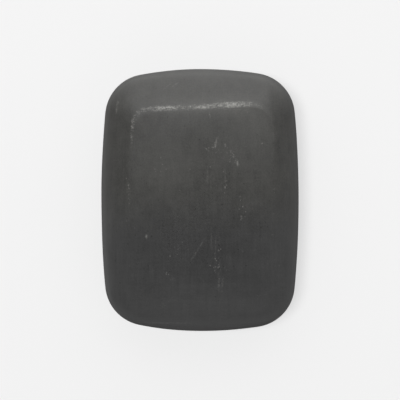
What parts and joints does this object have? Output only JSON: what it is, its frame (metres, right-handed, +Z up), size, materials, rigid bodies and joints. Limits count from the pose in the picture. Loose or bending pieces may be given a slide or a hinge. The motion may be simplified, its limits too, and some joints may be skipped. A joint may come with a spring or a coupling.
{
  "type": "basalt massage stone",
  "caption": "Palm-sized polished basalt pebble, a rounded pillow with a low crown and full round rims, for hot-stone massage.",
  "frame": {"origin": "middle of the flat rest face on the underside, which is also the bottom centre of the box", "axes": "+Z up through the stone's thickness, +Y along its length towards the end with the more worn shoulder, +X across its width"},
  "size_m": [0.0604, 0.08, 0.027],
  "materials": {
    "basalt": "satin"
  },
  "bodies": {
    "root": {"basalt_stone": "basalt"}
  },
  "joints": []
}
